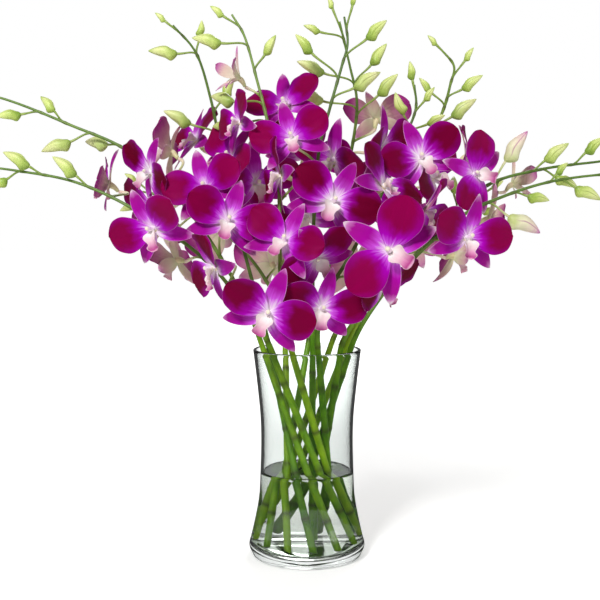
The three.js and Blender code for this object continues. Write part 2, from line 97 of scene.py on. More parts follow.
# Stalks and buds
STALK_STEPS = 22
STALK_SIDES = 12
BUD_STEPS = 24
BUD_SIDES = 30
BUD_SEAMS = (0.35, 2.45, 4.6)
STALK_DROP = 12.0
STALK_BEND = 0.45
BUD_BELOW = 0.75
BUD_STALK = 4.0
BUD_WIDEST = 0.2

# Easing apart, as in the model
HUB_BALL = 5.5
BLADE_BALLS = ((0.55, 0.44), (0.92, 0.28))
BROADEST_BALL = 12.0
EASING_ROUNDS = 160
EASING_SHARE = 0.12
EASING_LONGEST = 2.0
EASING_CLEAR = 2.0
EASING_PULL = (0.05, 0.01, 0.05)

# The eye that the places are judged from, and what the picture frames
EYE_DISTANCE = 900.0
EYE_HEIGHT = 290.0
AIM = (-6.2, 0, 227)
VIEW_WIDTH = 528.0
SENSOR = 36.0

# The white room: the strength of light that it gives the flowers, and that it gives what stands
# in the glass, against the white of 1 that is seen straight or through the glass
ROOM_LIGHT = 0.17
GLASS_LIGHT = 0.9

# The floor glows a little, and more from GLOW_FROM to GLOW_TO metres away, to meet the white room
GLOW_NEAR = 0.42
GLOW_RISE = 0.44
GLOW_FROM = 0.12
GLOW_TO = 1.1

# The sprays, as in the model. rim is the way round the rim in degrees where the cane leaves the
# vase; route, blooms and buds start with a place as across, up and forward. A bloom goes on with
# turn, tilt and roll in degrees, its size and how far it is open; a bud goes on with its length.
SPRAYS = {
    "a": {
        "rim": 186,
        "route": [[-62, 240, 4], [-104, 306, 2], [-153, 355, 0], [-207, 380, -4], [-263, 402, -8],
            [-316, 414, -10]],
        "blooms": [[-136, 338, 14, -50, -10, -30, 0.95, 1], [-118, 356, -22, -100, 12, 30, 0.95, 1],
            [-88, 326, 38, -12, 6, 20, 1, 1], [-70, 296, 58, 10, 4, -20, 1.05, 1],
            [-134, 308, -54, -62, -14, -20, 1.12, 1]],
        "buds": [[-184, 364, -18, 28], [-219, 361, 0, 27], [-226, 398, -14, 21], [-260, 388, -2, 22],
            [-292, 422, -10, 17], [-298, 396, -4, 16], [-330, 417, -10, 13]],
    },
    "b": {
        "rim": 219,
        "route": [[-52, 216, 32], [-87, 260, 40], [-144, 302, 34], [-199, 329, 24], [-253, 340, 14],
            [-312, 347, 8]],
        "blooms": [[-172, 328, -20, -80, 8, -15, 0.95, 1], [-134, 290, 58, -24, -20, 25, 1.05, 1],
            [-114, 262, 16, -115, -25, 20, 0.95, 1], [-80, 256, 70, -66, -22, 35, 1.05, 1]],
        "buds": [[-212, 344, 26, 26], [-254, 350, 18, 26], [-272, 328, 12, 22], [-300, 358, 8, 17],
            [-328, 345, 8, 14]],
    },
    "c": {
        "rim": 153,
        "route": [[-46, 235, -28], [-62, 297, -36], [-75, 359, -32], [-84, 403, -26],
            [-96, 441, -22], [-116, 465, -20]],
        "blooms": [[-66, 350, -6, -48, 20, -30, 1.08, 1], [-46, 330, -18, 34, -18, 15, 1.1, 1],
            [-56, 328, -78, -34, 6, -25, 1.18, 1], [-96, 366, -58, -58, 26, 20, 1.05, 1]],
        "buds": [[-113, 386, -26, 27], [-68, 412, -34, 22], [-125, 442, -20, 26],
            [-92, 462, -26, 16], [-127, 472, -20, 12]],
    },
    "d": {
        "rim": 251,
        "route": [[-22, 224, 44], [-24, 275, 44], [-25, 330, 34], [-34, 380, 24], [-44, 420, 14],
            [-54, 455, 8], [-65, 474, 4]],
        "blooms": [[-58, 419, 16, -68, 22, 0, 0.8, 0.45], [-58, 382, 26, -64, 4, 20, 0.9, 1],
            [-22, 336, 46, -76, -6, 35, 1, 1], [-19, 278, 72, -16, 14, -25, 1, 1],
            [-34, 216, 84, -8, -12, -25, 1.12, 1], [8, 264, 66, 24, -24, 40, 0.95, 1]],
        "buds": [[-74, 402, -8, 27], [-74, 378, -12, 24], [-87, 452, 8, 26], [-32, 448, 12, 20],
            [-78, 477, 4, 15]],
    },
    "e": {
        "rim": 88,
        "route": [[14, 235, -46], [28, 300, -50], [41, 372, -40], [43, 402, -36], [37, 430, -30],
            [28, 468, -24]],
        "blooms": [[64, 360, 10, 58, -6, 12, 1.05, 1], [0, 354, -76, 18, 22, -30, 1.18, 1],
            [0, 300, -86, -24, -12, 25, 1.18, 1], [60, 384, -54, 150, 40, 0, 0.95, 1]],
        "buds": [[2, 404, -36, 27], [3, 429, -26, 27], [4, 462, -24, 16], [62, 440, -34, 24],
            [70, 414, -30, 26], [20, 484, -24, 12]],
    },
    "f": {
        "rim": 0,
        "route": [[5, 245, 0], [6, 300, 0], [10, 355, 10], [20, 395, 10], [30, 430, 6],
            [35, 450, 4], [32, 472, 2]],
        "blooms": [[-13, 368, 42, -6, 8, 18, 0.95, 1], [24, 350, -10, -44, -22, -25, 1.1, 1],
            [22, 313, 62, 6, 0, -28, 1.08, 1], [-18, 396, -26, -24, 26, 20, 1, 1]],
        "buds": [[-3, 449, 6, 22], [60, 461, 4, 24], [52, 418, 8, 27], [40, 487, 2, 12]],
    },
    "g": {
        "rim": 55,
        "route": [[46, 235, -40], [74, 300, -42], [104, 362, -32], [118, 392, -26], [124, 414, -22],
            [127, 430, -18], [116, 444, -16]],
        "blooms": [[99, 350, 22, 8, 6, 23, 1.05, 1], [108, 334, -68, 48, 12, 35, 1.15, 1],
            [54, 322, -84, 36, -14, -20, 1.18, 1], [138, 352, -34, 72, 14, -20, 0.95, 1]],
        "buds": [[136, 394, -22, 27], [102, 414, -24, 16], [143, 416, -18, 22], [140, 440, -16, 14],
            [108, 452, -16, 12]],
    },
    "h": {
        "rim": 284,
        "route": [[14, 224, 46], [40, 270, 44], [66, 322, 18], [82, 362, -6], [94, 392, -12],
            [93, 414, -12]],
        "blooms": [[12, 220, 66, 12, -14, -12, 1.02, 1], [66, 240, 44, 56, -26, 28, 1, 1],
            [72, 270, 82, 6, 0, 58, 1.25, 1], [66, 326, 52, 52, 24, -40, 1.05, 1]],
        "buds": [[80, 398, -6, 21], [106, 406, -8, 15], [112, 384, 4, 18], [90, 426, -12, 17]],
    },
    "i": {
        "rim": 350,
        "route": [[68, 234, 8], [112, 285, 6], [155, 326, 2], [203, 341, -2], [255, 348, -6],
            [298, 354, -8]],
        "blooms": [[146, 337, 18, 26, 2, 70, 1, 1], [102, 306, 62, 66, -24, -30, 1.05, 1],
            [158, 298, -12, 92, -6, 20, 1, 1], [178, 328, -36, 100, 16, 0, 0.85, 0.6]],
        "buds": [[182, 361, 6, 32], [217, 356, 0, 26], [226, 330, -6, 23], [250, 362, -6, 22],
            [282, 340, -8, 20], [312, 358, -8, 13]],
    },
    "j": {
        "rim": 317,
        "route": [[54, 224, 34], [98, 268, 40], [134, 300, 44], [172, 318, 32], [210, 330, 16],
            [250, 336, 8], [290, 338, 4]],
        "blooms": [[139, 282, 70, 22, -8, -14, 1.05, 1]],
        "buds": [[190, 293, 26, 34], [202, 316, 20, 22], [222, 342, 12, 15], [245, 320, 10, 26],
            [272, 350, 6, 18], [304, 336, 4, 13]],
    },
    "k": {
        "rim": 121,
        "route": [[-28, 228, -50], [-50, 264, -68], [-82, 294, -80], [-114, 314, -88],
            [-144, 322, -94]],
        "blooms": [[-30, 258, -94, 206, -18, 15, 1.1, 1], [-74, 286, -106, 196, -4, -35, 1.05, 1],
            [-126, 290, -84, 232, -8, 20, 0.95, 1]],
        "buds": [[-116, 334, -104, 22], [-156, 308, -98, 20], [-154, 334, -96, 15]],
    },
    "l": {
        "rim": 23,
        "route": [[56, 226, -40], [82, 262, -60], [110, 290, -74], [134, 308, -84],
            [156, 320, -94]],
        "blooms": [[40, 258, -86, 150, -16, -20, 1.1, 1], [88, 284, -104, 160, -4, 30, 1.05, 1],
            [128, 266, -50, 112, -18, -25, 0.95, 1]],
        "buds": [[128, 328, -104, 22], [160, 304, -98, 20], [166, 328, -98, 15]],
    },
}


# Places and directions


def chance(seed):
    value = math.sin(seed * 12.9898) * 43758.5453
    return value - math.floor(value)


def unit(vector):
    return vector / np.linalg.norm(vector)


def seen(place):
    across, up, forward = place[:3]
    near = 1 - forward / EYE_DISTANCE
    return np.array([across * near, -forward, EYE_HEIGHT + (up - EYE_HEIGHT) * near])


def on_ring(radius, degrees, level):
    angle = math.radians(degrees)
    return np.array([radius * math.cos(angle), radius * math.sin(angle), level])


def smoothstep(low, high, value):
    share = np.clip((value - low) / (high - low), 0, 1)
    return share * share * (3 - 2 * share)


def bezier(a, b, c, d, count):
    t = np.linspace(0, 1, count)[:, None]
    return (1 - t) ** 3 * a + 3 * (1 - t) ** 2 * t * b + 3 * (1 - t) * t * t * c + t**3 * d


# Meshes are gathered from closed skins. A skin is a row of rings of points, each ring with as
# many points; every point carries marks that the materials read.

MARKS = ("along", "across", "front", "tone", "pale")


class Piece:
    """One visible piece, gathered from skins and made into one mesh at the end."""

    def __init__(self):
        self.points = []
        self.faces = []
        self.slots = []
        self.marks = {mark: [] for mark in MARKS}
        self.count = 0

    def skin(self, rings, slot=0, **marks):
        """Adds a closed surface through the rings, with its two ends filled."""
        rings = np.asarray(rings, float)
        rows, columns = rings.shape[:2]
        points = np.vstack([rings.reshape(-1, 3), rings[0].mean(0), rings[-1].mean(0)])
        row, column = np.meshgrid(np.arange(rows - 1), np.arange(columns), indexing="ij")
        after = (column + 1) % columns
        quads = np.stack([
            row * columns + column, row * columns + after,
            (row + 1) * columns + after, (row + 1) * columns + column,
        ], axis=-1).reshape(-1, 4)
        around = np.arange(columns)
        last = (rows - 1) * columns
        start = np.stack([np.full(columns, rows * columns), (around + 1) % columns, around], axis=-1)
        end = np.stack([
            np.full(columns, rows * columns + 1), last + around, last + (around + 1) % columns,
        ], axis=-1)
        triangles = np.vstack([quads[:, :3], quads[:, [0, 2, 3]], start, end])
        corners = points[triangles]
        volume = np.einsum("ij,ij->i", corners[:, 0], np.cross(corners[:, 1], corners[:, 2])).sum()
        faces = quads.tolist() + start.tolist() + end.tolist()
        if volume < 0:
            faces = [face[::-1] for face in faces]
        self.faces += [[index + self.count for index in face] for face in faces]
        self.slots += [slot] * len(faces)
        self.points.append(points)
        self.count += len(points)
        for mark in MARKS:
            values = np.broadcast_to(np.asarray(marks.get(mark, 0.0), float), (rows, columns))
            ends = [values[0].mean(), values[-1].mean()]
            self.marks[mark].append(np.concatenate([values.reshape(-1), ends]))

    def build(self, name, materials, node, place=None):
        points = np.vstack(self.points)
        if place is not None:
            points = points @ place[0].T + place[1]
        mesh = bpy.data.meshes.new(name)
        mesh.from_pydata((points * METRES).tolist(), [], self.faces)
        mesh.polygons.foreach_set("material_index", self.slots)
        mesh.polygons.foreach_set("use_smooth", [True] * len(self.faces))
        for mark in MARKS:
            layer = mesh.attributes.new(mark, "FLOAT", "POINT")
            layer.data.foreach_set("value", np.concatenate(self.marks[mark]).astype(np.float32))
        for material in materials:
            mesh.materials.append(material)
        mesh.update()
        piece = bpy.data.objects.new(name, mesh)
        bpy.context.scene.collection.objects.link(piece)
        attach(piece, "root")
        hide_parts(node)


def tube(points, radii, sides, shapes=None):
    """Rings round a line of points. shapes, if given, scales each ring by the angle round it."""
    points = np.asarray(points, float)
    ahead = np.gradient(points, axis=0)
    ahead /= np.linalg.norm(ahead, axis=1)[:, None]
    aside = np.cross(ahead[0], (1, 0, 0) if abs(ahead[0][0]) < 0.7 else (0, 1, 0))
    angles = np.linspace(0, 2 * math.pi, sides, endpoint=False)
    rings = []
    for i, (point, forward) in enumerate(zip(points, ahead)):
        aside = unit(aside - forward * aside.dot(forward))
        other = np.cross(forward, aside)
        radius = radii[i] * (1 if shapes is None else shapes[i])
        round_it = np.cos(angles)[:, None] * aside + np.sin(angles)[:, None] * other
        rings.append(point + round_it * np.reshape(radius, (-1, 1)))
    return np.array(rings)


# The canes and where they stand


def smooth_route(knots, per_step):
    """Straight through the water to the rim, then a smooth line through the rest of the knots."""
    knots = [np.asarray(knot, float) for knot in knots]
    foot, rim, route = knots[0], knots[1], knots[2:]
    spans = [rim, *route]
    slopes = [unit(rim - foot) * np.linalg.norm(route[0] - rim)]
    for i in range(1, len(spans) - 1):
        slopes.append((spans[i + 1] - spans[i - 1]) / 2)
    slopes.append(spans[-1] - spans[-2])
    shares = np.linspace(0, 1, STRAIGHT_STEPS, endpoint=False)
    points = [foot + (rim - foot) * share for share in shares]
    levels = [0.0] * len(points)
    for i in range(len(spans) - 1):
        for share in np.linspace(0, 1, per_step, endpoint=False):
            a, b = 1 - share, share
            points.append(
                a * a * (1 + 2 * b) * spans[i] + b * b * (1 + 2 * a) * spans[i + 1]
                + a * a * b * slopes[i] - a * b * b * slopes[i + 1])
            levels.append(i + share)
    points.append(spans[-1])
    levels.append(float(len(spans) - 1))
    return np.array(points), np.array(levels) / (len(spans) - 1)


def cane_line(letter, spray):
    if letter == "f":
        foot = np.array([*MIDDLE_CANE[0], CANE_FOOT], float)
        rim = np.array([*MIDDLE_CANE[1], RIM_LEVEL], float)
    else:
        foot = on_ring(FOOT_RING, spray["rim"] + CROSSOVER, CANE_FOOT)
        rim = on_ring(RIM_RING, spray["rim"], RIM_LEVEL)
    route = [seen(place) for place in spray["route"]]
    count = len(route)
    spray["knots"] = [rim, *route]
    spray["knot_radii"] = [NECK_RADIUS] + [
        RACHIS_RADIUS + (TIP_RADIUS - RACHIS_RADIUS) * (i + 1) / count for i in range(count)]
    spray["line"], spray["level"] = smooth_route([foot, rim, *route], ROUTE_STEPS)
    steps = np.linalg.norm(np.diff(spray["line"], axis=0), axis=1)
    spray["run"] = np.concatenate([[0], np.cumsum(steps)])


def leaving(spray, target, below):
    """The number of the point of the rachis where a stalk leaves it for the target."""
    above = np.flatnonzero(spray["line"][:, 2] >= RIM_LEVEL - 1)[0]
    distances = np.linalg.norm(spray["line"] - target, axis=1)
    nearest = above + int(np.argmin(distances[above:]))
    index = nearest
    while index > above and spray["run"][nearest] - spray["run"][index] < below:
        index -= 1
    return index


# The blades of a flower

BLADE_OUTLINES = {
    "sepal": lambda t: 2.38 * t**0.55 * (1 - t) ** 0.75,
    "petal": lambda t: 2.8 * t * (1 - t) ** 0.6,
    "lip": lambda t: (
        1.75 * t**0.7 * (1 - t) ** 0.45 * (1 + 0.25 * np.cos(4 * math.pi * (t - 0.42)))),
}
# Rows along and columns across one face of each kind of blade
FINENESS = {"sepal": (20, 11), "petal": (26, 17), "lip": (26, 15)}
CLAW = 1.5


def tepals(bloom):
    """The six blades in order round the flower, each a little off its rule."""
    kinds = ((PETAL, 17), (SEPAL, 90), (PETAL, 163), (SEPAL, 213), (LIP, 270), (SEPAL, 327))
    blades = []
    for order, (kind, angle) in enumerate(kinds):
        shut = SHUT_LIFT * (1 - bloom["open"])
        lift = shut + LIFT_JITTER * (chance(bloom["seed"] * 11 + order) - 0.5)
        bend = BEND_JITTER * (chance(bloom["seed"] * 19 + order) - 0.5)
        if kind is LIP:
            lift = bend = 0
        blades.append({
            **kind,
            "width": kind["width"] * bloom["open"],
            "angle": angle + SPREAD_JITTER * (chance(bloom["seed"] * 7 + order) - 0.5),
            "lift": kind["lift"] + lift,
            "bend": kind["bend"] + bend,
            "twist": kind["twist"] * (chance(bloom["seed"] * 23 + order) - 0.5),
            "phase": 6.3 * chance(bloom["seed"] * 13 + order),
        })
    return blades


def half_width(blade, t):
    return blade["width"] * BLADE_OUTLINES[blade["kind"]](t)


def blade_point(blade, t, s, height, half=None):
    """Places on a blade: t along it, s across it from -1 to 1, lifted off its middle surface."""
    lift = math.radians(blade["lift"])
    bend = math.radians(blade["bend"])
    pitch = lift + bend * t
    half = half_width(blade, t) if half is None else half
    ripple = blade["wave"] * s * s * np.sin(7.5 * t + 2.2 * np.sign(s) + blade["phase"])
    curl = math.radians(blade["twist"]) * t * t
    flat_rise = blade["channel"] * s * s * half + ripple * t + height
    rise = flat_rise * np.cos(curl) + s * half * np.sin(curl)
    reach = blade["length"] / bend
    radial = reach * (np.sin(pitch) - math.sin(lift)) - rise * np.sin(pitch)
    axial = reach * (math.cos(lift) - np.cos(pitch)) + rise * np.cos(pitch)
    angle = math.radians(blade["angle"])
    aside = s * half * np.cos(curl) - flat_rise * np.sin(curl)
    return np.stack([
        radial * math.cos(angle) - aside * math.sin(angle),
        radial * math.sin(angle) + aside * math.cos(angle),
        axial + 0 * aside,
    ], axis=-1)


def facing(bloom):
    turn, tilt, roll = (math.radians(bloom[key]) for key in ("turn", "tilt", "roll"))
    front = np.array([
        math.sin(turn) * math.cos(tilt), -math.cos(turn) * math.cos(tilt), math.sin(tilt)])
    level = np.array([math.cos(turn), math.sin(turn), 0])
    upright = np.cross(front, level)
    right = level * math.cos(roll) + upright * math.sin(roll)
    top = np.cross(front, right)
    return np.column_stack([right, top, front]) * bloom["size"]


def feelers(bloom):
    balls = [((0, 0, 0), HUB_BALL)]
    for blade in tepals(bloom):
        broad = min(blade["width"], BROADEST_BALL)
        for t, share in BLADE_BALLS:
            balls.append((blade_point(blade, t, 0.0, 0.0), share * broad))
    places = np.array([np.asarray(at, float) for at, _ in balls]) @ bloom["turned"].T
    return places, np.array([radius for _, radius in balls]) * bloom["size"]


def make_blooms():
    blooms = []
    for number, (letter, spray) in enumerate(SPRAYS.items()):
        for i, values in enumerate(spray["blooms"]):
            turn, tilt, roll, size, openness = values[3:]
            bloom = dict(letter=letter, name=f"{letter}{i + 1}", turn=turn, tilt=tilt, roll=roll)
            bloom.update(size=size, open=openness, seed=10 * (number + 1) + i)
            bloom["home"] = seen(values)
            bloom["turned"] = facing(bloom)
            blooms.append(bloom)
    return blooms


def ease_apart(blooms):
    """Moves the flowers as the model does, so that each one hangs where its solid is."""
    shapes = [feelers(bloom) for bloom in blooms]
    count = len(shapes[0][1])
    offsets = np.array([places for places, _ in shapes])
    radii = np.array([radius for _, radius in shapes])
    fixed_places = []
    fixed_radii = []
    for spray in SPRAYS.values():
        fixed_places += spray["knots"]
        fixed_radii += [radius + EASING_CLEAR for radius in spray["knot_radii"]]
        fixed_places += [seen(bud) for bud in spray["buds"]]
        fixed_radii += [BUD_WIDEST * bud[3] + EASING_CLEAR for bud in spray["buds"]]
    fixed_places = np.array(fixed_places)
    fixed_radii = np.array(fixed_radii)
    homes = np.array([bloom["home"] for bloom in blooms])
    places = homes.copy()
    owner = np.repeat(np.arange(len(blooms)), count)
    other_owner = np.concatenate([owner, np.full(len(fixed_radii), -1)])
    own_radii = radii.reshape(-1)
    reach = own_radii[:, None] + np.concatenate([own_radii, fixed_radii])[None, :]
    reach[owner[:, None] == other_owner[None, :]] = -1e9
    for _ in range(EASING_ROUNDS):
        balls = (places[:, None, :] + offsets).reshape(-1, 3)
        others = np.vstack([balls, fixed_places])
        squares = (balls**2).sum(1)[:, None] + (others**2).sum(1)[None, :] - 2 * balls @ others.T
        first, second = np.nonzero(squares < np.maximum(reach, 0) ** 2)
        away = balls[first] - others[second]
        distance = np.linalg.norm(away, axis=1)
        push = away / distance[:, None] * (reach[first, second] - distance)[:, None]
        move = np.zeros_like(places)
        np.add.at(move, owner[first], push)
        move *= EASING_SHARE
        length = np.linalg.norm(move, axis=1)
        move *= np.minimum(1, EASING_LONGEST / np.maximum(length, 1e-9))[:, None]
        places = places + move + (homes - places) * EASING_PULL
    for bloom, place in zip(blooms, places):
        bloom["place"] = place


# Flowers

PETAL_SLOT, SEPAL_SLOT, LIP_SLOT, HEART_SLOT = range(4)
BLADE_SLOTS = {"petal": PETAL_SLOT, "sepal": SEPAL_SLOT, "lip": LIP_SLOT}


def relief(blade, t, s, half):
    """Fine forms that both faces of a blade share: midrib, frilled edge, ridges of the lip."""
    if blade["kind"] == "lip":
        ridges = sum(np.exp(-((s * half - place) / 0.5) ** 2) for place in (-1.7, 0, 1.7))
        ridges *= 0.9 * smoothstep(0.12, 0.3, t) * (1 - smoothstep(0.55, 0.7, t))
        frill = 0.9 * s**4 * np.sin(31 * t + 3 * np.sign(s) + blade["phase"])
        return ridges + frill * smoothstep(0.5, 0.75, t)
    midrib = -0.5 * np.exp(-((s * half / 1.1) ** 2)) * (1 - 0.8 * t)
    if blade["kind"] == "sepal":
        return midrib
    frill = 0.55 * s**6 * np.sin(21 * t + 2 * np.sign(s) + 2 * blade["phase"]) * np.sqrt(t)
    pleats = 0.22 * np.sin(s * 11 + blade["phase"]) * smoothstep(0.1, 0.5, t) * (1 - s * s)
    return midrib + frill + pleats


def add_blade(piece, blade, tone, pale):
    rows, columns = FINENESS[blade["kind"]]
    t = 0.5 - 0.5 * np.cos(np.linspace(0.22, 0.985, rows) * math.pi)
    t = np.clip((t - t[0]) / (1 - t[0]), 0.0, 0.997)[:, None]
    front = np.sin(np.linspace(-1, 1, columns) * math.pi / 2)
    s = np.concatenate([front, front[-2:0:-1]])[None, :]
    side = np.concatenate([np.ones(columns), -np.ones(columns - 2)])[None, :]
    side[:, [0, columns - 1]] = 0
    half = half_width(blade, t)
    claw = CLAW * (1 - smoothstep(0.0, 0.3, t))
    half = np.sqrt(half**2 + claw**2)
    full = PETAL_THICKNESS + 0.5 * (1 - smoothstep(0.0, 0.25, t))
    thickness = EDGE_THICKNESS + (full - EDGE_THICKNESS) * (1 - s * s) ** 0.7
    height = relief(blade, t, s, half) + side * thickness / 2
    rings = blade_point(blade, t, s, height, half)
    piece.skin(
        rings, BLADE_SLOTS[blade["kind"]], along=t + 0 * s, across=s + 0 * t,
        front=(side + 1) / 2 + 0 * t, tone=tone, pale=pale)


def add_heart(piece, tone, pale):
    """The column with its cap at the front, and the chin that runs back to the stalk."""
    column_end = np.array(COLUMN_AT, float)
    points = bezier(
        np.array([0, 0, -1.0]), np.array([0, 0.2, 3]), np.array([0, 1.2, 6]), column_end, 9)
    radii = COLUMN_RADIUS * np.array([1.35, 1.3, 1.1, 0.98, 0.92, 0.95, 1.02, 1.05, 0.85])
    ramp = np.linspace(0, 0.6, len(points))[:, None]
    piece.skin(tube(points, radii, 12), HEART_SLOT, along=ramp, front=1, tone=tone, pale=pale)
    turns = np.linspace(0.05, 0.97, 7) * math.pi
    cap = column_end + np.outer(-np.cos(turns), (0, 0.35, 1.5))
    piece.skin(
        tube(cap, 1.75 * np.sin(turns), 12), HEART_SLOT,
        along=np.linspace(0.7, 1, len(turns))[:, None], front=1, tone=tone, pale=pale)
    chin_end = np.array(CHIN_AT, float)
    points = bezier(
        np.array([0, 0, 1.2]), np.array([0, -0.4, -2.2]), np.array([0, -2.4, -5.2]), chin_end, 9)
    radii = np.array([2.6, 3.1, 3.05, 2.85, 2.6, 2.3, 2.05, 1.85, 1.5])
    ramp = np.linspace(0, 1, len(points))[:, None]
    piece.skin(tube(points, radii, 16), HEART_SLOT, along=ramp, front=0, tone=tone, pale=pale)


def make_flower(bloom, materials):
    piece = Piece()
    tone = chance(bloom["seed"] * 17)
    pale = 0.0 if bloom["open"] > 0.9 else 1.0 - 0.5 * bloom["open"]
    for blade in tepals(bloom):
        add_blade(piece, blade, tone, pale)
    add_heart(piece, tone, pale)
    piece.build(
        f"flower_{bloom['name']}", materials, f"bloom_{bloom['name']}",
        (bloom["turned"], bloom["place"]))


# Sprays: cane, rachis, stalks and buds

GREEN_SLOT, STALK_SLOT, BUD_SLOT = range(3)


def add_cane(piece, spray, seed, starts):
    """The cane in the water and the rachis above it, swollen where stalks or old leaves sat."""
    run = spray["run"]
    rim_run = run[np.argmax(spray["level"] > 0)]
    level = spray["level"]
    upper = RACHIS_RADIUS + (TIP_RADIUS - RACHIS_RADIUS) * level
    radii = np.where(run < rim_run, CANE_RADIUS, upper)
    neck = smoothstep(rim_run - 60, rim_run + 55, run)
    radii = np.where(run < rim_run + 55, CANE_RADIUS + (upper - CANE_RADIUS) * neck, radii)
    internode = INTERNODE * (0.9 + 0.2 * chance(seed + 3))
    nodes = np.arange(24 + 12 * chance(seed), rim_run + 10, internode)
    swelling = sum(np.exp(-((run - node) / 2.2) ** 2) for node in nodes)
    radii = radii * (1 + 0.13 * swelling)
    for start in starts:
        radii = radii + 0.3 * np.exp(-((run - run[start]) / 2.5) ** 2)
    rings = tube(spray["line"], radii, CANE_SIDES)
    slant = 1.6 * np.cos(np.linspace(0, 2 * math.pi, CANE_SIDES, endpoint=False) + seed)
    rings[0] += unit(spray["line"][1] - spray["line"][0]) * slant[:, None]
    marked = np.clip(swelling, 0, 1) * 0.8
    for start in starts:
        marked = np.maximum(marked, 0.7 * np.exp(-((run - run[start] - 1.5) / 1.6) ** 2))
    piece.skin(
        rings, GREEN_SLOT, along=(run / 500)[:, None], across=marked[:, None],
        front=smoothstep(rim_run - 10, rim_run + 60, run)[:, None], tone=chance(seed * 5))


def add_bract(piece, place, ahead, outward, size):
    """The small dry scale under a stalk."""
    steps = np.linspace(0, 1, 6)
    points = place + np.outer(steps * size, unit(ahead + 0.5 * outward))
    width = size * 0.42 * np.array([1.0, 1.0, 0.85, 0.62, 0.35, 0.05])
    aside = unit(np.cross(ahead, outward))
    angles = np.linspace(0, 2 * math.pi, 8, endpoint=False)
    rings = [
        point + np.outer(np.cos(angles) * w, aside) + np.outer(np.sin(angles) * w * 0.3, outward)
        for point, w in zip(points, width)]
    piece.skin(rings, STALK_SLOT, along=0.02, across=1, tone=0.5)


def add_stalk(piece, spray, bloom, index):
    """The stalk of an open flower: green where it leaves the rachis, pale at the flower."""
    ahead = unit(bloom["turned"][:, 2])
    end = bloom["turned"] @ np.array(CHIN_AT, float) + bloom["place"] - ahead * GAP
    start = spray["line"][index]
    reach = np.linalg.norm(end - start)
    elbow = end - ahead * STALK_BEND * reach
    grown = unit(spray["line"][index + 1] - spray["line"][index])
    second = start + (elbow - start) * 0.55 + grown * 0.12 * reach
    third = end + (elbow - end) * 0.72
    points = bezier(start, second, third, end, STALK_STEPS)
    shares = np.linspace(0, 1, STALK_STEPS)
    flare = 0.25 * np.exp(-shares / 0.06) + 0.42 * smoothstep(0.5, 0.92, shares)
    radii = PEDICEL_RADIUS * (0.86 + flare)
    ribs = 1 + 0.05 * np.cos(3 * np.linspace(0, 2 * math.pi, STALK_SIDES, endpoint=False))
    piece.skin(
        tube(points, radii, STALK_SIDES, [ribs] * STALK_STEPS), STALK_SLOT,
        along=shares[:, None], tone=chance(bloom["seed"] * 3))
    add_bract(piece, start, grown, unit(points[3] - start), 4.2)


def add_bud(piece, spray, bud, index, seed):
    """A closed bud: pointed, with a rounded chin at its base and three seams."""
    middle = seen(bud)
    length = bud[3]
    start = spray["line"][index]
    along = unit(middle - start)
    base = middle - along * 0.5 * length
    reach = np.linalg.norm(base - start)
    grown = unit(spray["line"][min(index + 1, len(spray["line"]) - 1)] - spray["line"][index - 1])
    stem = bezier(start, start + grown * 0.35 * reach, base - along * 0.35 * reach, base + along, 12)
    shares = np.linspace(0, 1, 12)
    ripe = float(smoothstep(25, 33, length))
    piece.skin(
        tube(stem, BUD_PEDICEL_RADIUS * (1 + 0.35 * smoothstep(0.6, 1, shares)), 10), STALK_SLOT,
        along=(shares * (0.25 + 0.4 * ripe))[:, None], tone=chance(seed))
    down = np.array([0, 0, -1.0]) + 0.6 * grown
    down = unit(down - along * down.dot(along))
    u = 0.5 - 0.5 * np.cos(np.linspace(0.03, 0.985, BUD_STEPS) * math.pi)
    width = length * 0.213 * np.sin(math.pi * u**0.72) ** 0.72 * (1 - 0.12 * u)
    chin = np.exp(-(((u - 0.2) / 0.14) ** 2))
    bow = np.sin(math.pi * u) * 0.035 * length
    centres = base + np.outer(u * length, along) + np.outer(0.055 * length * chin - bow, down)
    other = np.cross(along, down)
    angles = np.linspace(0, 2 * math.pi, BUD_SIDES, endpoint=False)
    seams = np.zeros(BUD_SIDES)
    for seam in BUD_SEAMS:
        turn = (angles - seam + math.pi) % (2 * math.pi) - math.pi
        seams += np.exp(-((turn / 0.13) ** 2))
    rings = []
    for i, share in enumerate(u):
        radius = width[i] * (1 - 0.1 * seams * smoothstep(0.1, 0.4, share))
        radius = radius * (1 + 0.22 * chin[i] * np.clip(np.cos(angles), 0, 1) ** 2)
        rings.append(
            centres[i] + np.outer(radius * np.cos(angles), down)
            + np.outer(radius * np.sin(angles) * 0.94, other))
    piece.skin(
        rings, BUD_SLOT, along=u[:, None], across=seams[None, :], tone=chance(seed * 2), pale=ripe)
    add_bract(piece, start, grown, unit(stem[2] - start), 3.2)


def make_spray(number, letter, spray, blooms, materials):
    piece = Piece()
    seed = 100 + 37 * number
    own = [bloom for bloom in blooms if bloom["letter"] == letter]
    stalks = []
    for bloom in own:
        ahead = unit(bloom["turned"][:, 2])
        end = bloom["turned"] @ np.array(CHIN_AT, float) + bloom["place"] - ahead * GAP
        stalks.append((bloom, leaving(spray, end, STALK_DROP)))
    buds = [
        (bud, leaving(spray, seen(bud), BUD_BELOW * bud[3] + BUD_STALK)) for bud in spray["buds"]]
    add_cane(piece, spray, seed, [index for _, index in stalks + buds])
    for bloom, index in stalks:
        add_stalk(piece, spray, bloom, min(index, len(spray["line"]) - 2))
    for i, (bud, index) in enumerate(buds):
        add_bud(piece, spray, bud, index, seed + i)
    piece.build(f"spray_{letter}", materials, f"stem_{letter}")


# Glass and water


def turned(profile, sides):
    angles = np.linspace(0, 2 * math.pi, sides, endpoint=False)
    radius, level = np.array(profile, float).T
    return np.stack([
        np.outer(radius, np.cos(angles)), np.outer(radius, np.sin(angles)),
        np.repeat(level[:, None], sides, axis=1),
    ], axis=-1)


